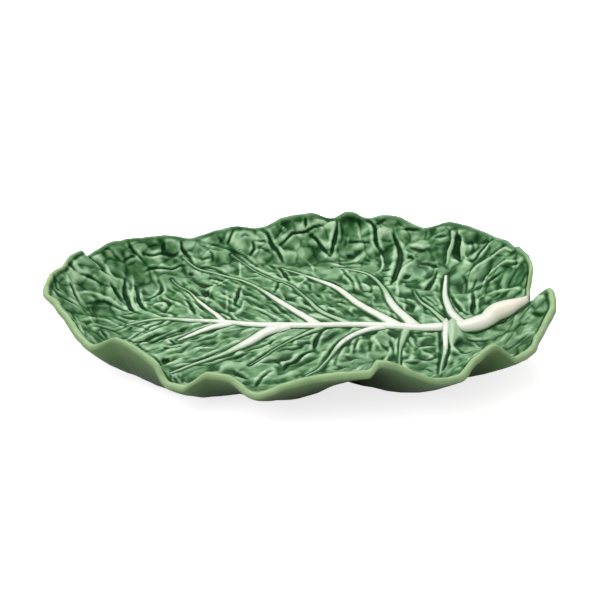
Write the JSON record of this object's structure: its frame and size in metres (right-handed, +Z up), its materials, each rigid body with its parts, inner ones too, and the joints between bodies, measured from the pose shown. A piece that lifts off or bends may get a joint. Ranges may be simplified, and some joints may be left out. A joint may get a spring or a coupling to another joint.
{
  "type": "cabbage leaf platter",
  "caption": "Shallow oval serving dish moulded as one crinkled cabbage leaf, with raised ribs, a wavy rim, a stalk end and a low foot ring.",
  "frame": {"origin": "centre of the dish's outline on the surface it stands on", "axes": "+X along the leaf towards its stalk, +Y across the leaf, +Z up out of the dish"},
  "size_m": [0.3962, 0.326, 0.0539],
  "materials": {
    "leaf_glaze": "glossy majolica glaze, pooled dark green in the hollows and thin pale green on the ridges and rim",
    "cream_glaze": "glossy cream glaze",
    "pale_glaze": "glossy thin pale green glaze",
    "foot_glaze": "green glaze over the foot, wiped bare on the resting face"
  },
  "bodies": {
    "root": {"leaf_blade": "leaf_glaze", "foot_ring": "foot_glaze", "midrib": "cream_glaze", "back_rib_1": "cream_glaze", "back_rib_2": "pale_glaze", "back_rib_3": "cream_glaze", "back_rib_4": "cream_glaze", "back_rib_5": "pale_glaze", "back_rib_6": "cream_glaze", "back_rib_7": "cream_glaze", "front_rib_1": "cream_glaze", "front_rib_2": "pale_glaze", "front_rib_3": "cream_glaze", "front_rib_4": "pale_glaze", "front_rib_5": "cream_glaze", "front_rib_6": "cream_glaze"}
  },
  "joints": []
}
